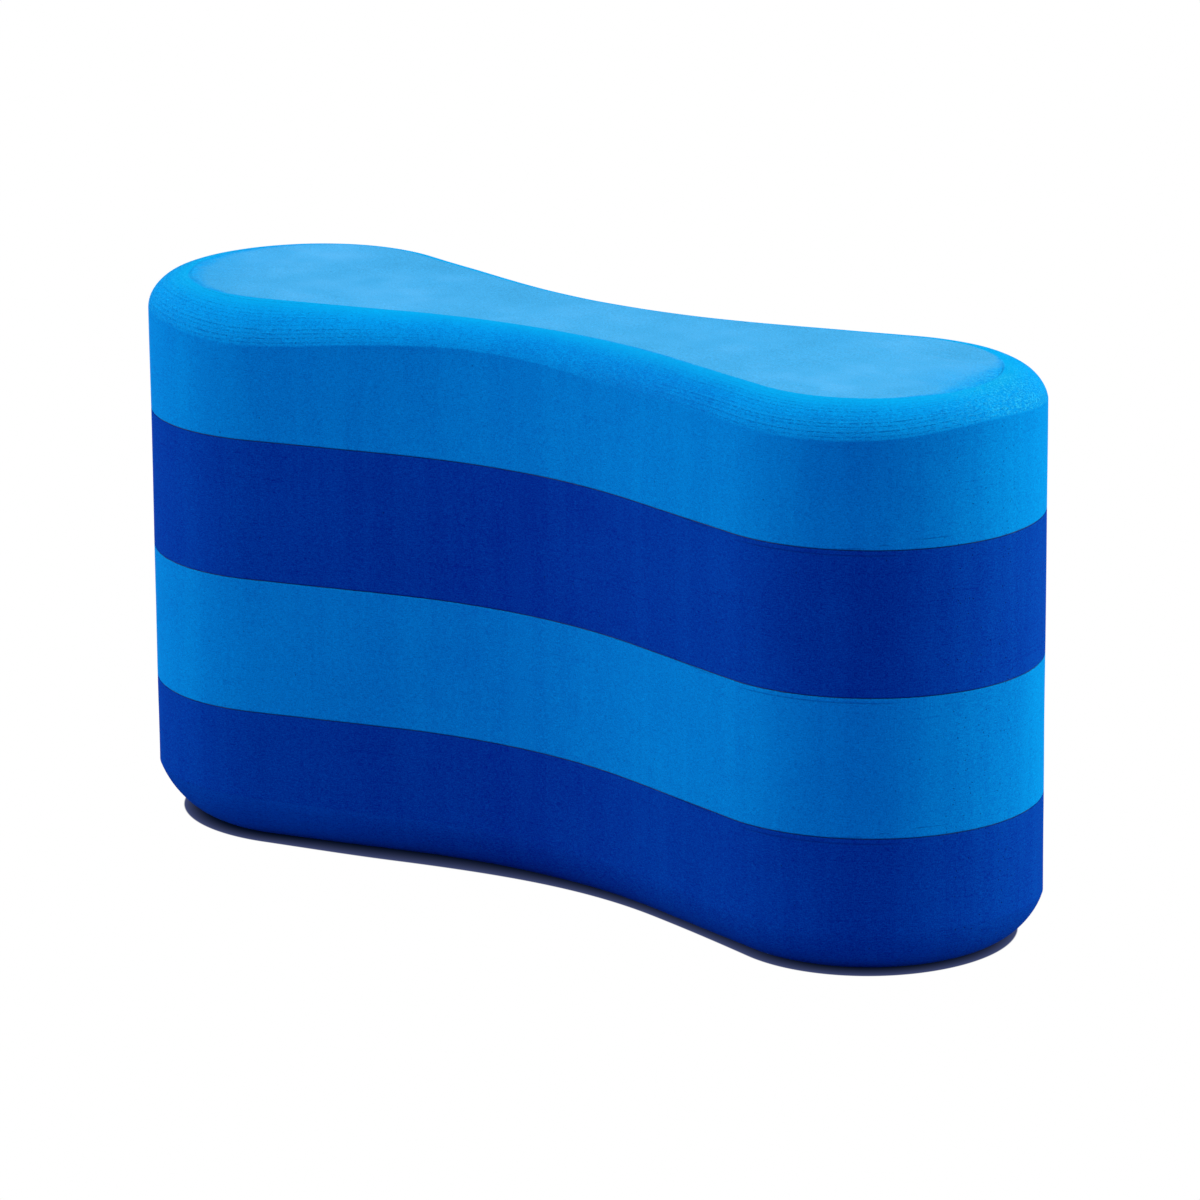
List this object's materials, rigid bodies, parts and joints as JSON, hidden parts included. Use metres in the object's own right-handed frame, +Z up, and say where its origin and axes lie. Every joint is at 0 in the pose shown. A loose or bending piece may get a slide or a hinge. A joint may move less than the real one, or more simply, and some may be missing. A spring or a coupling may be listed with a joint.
{
  "type": "pull buoy",
  "caption": "Figure-of-eight swimming float of light and dark blue foam sheets glued in a stack, gripped between the thighs at its hollow waist.",
  "frame": {"origin": "centre of the flat underside", "axes": "+X from end to end, +Y from one hollow grip face to the other, +Z up through the stack of sheets"},
  "size_m": [0.24, 0.079, 0.1306],
  "materials": {
    "light_blue_foam": "matt cut closed-cell foam",
    "dark_blue_foam": "matt cut closed-cell foam",
    "contact_adhesive": "dark dried contact adhesive"
  },
  "bodies": {
    "root": {"bottom_layer": "dark_blue_foam", "lower_glue_film": "contact_adhesive", "lower_middle_layer": "light_blue_foam", "middle_glue_film": "contact_adhesive", "upper_middle_layer": "dark_blue_foam", "upper_glue_film": "contact_adhesive", "top_layer": "light_blue_foam"}
  },
  "joints": []
}
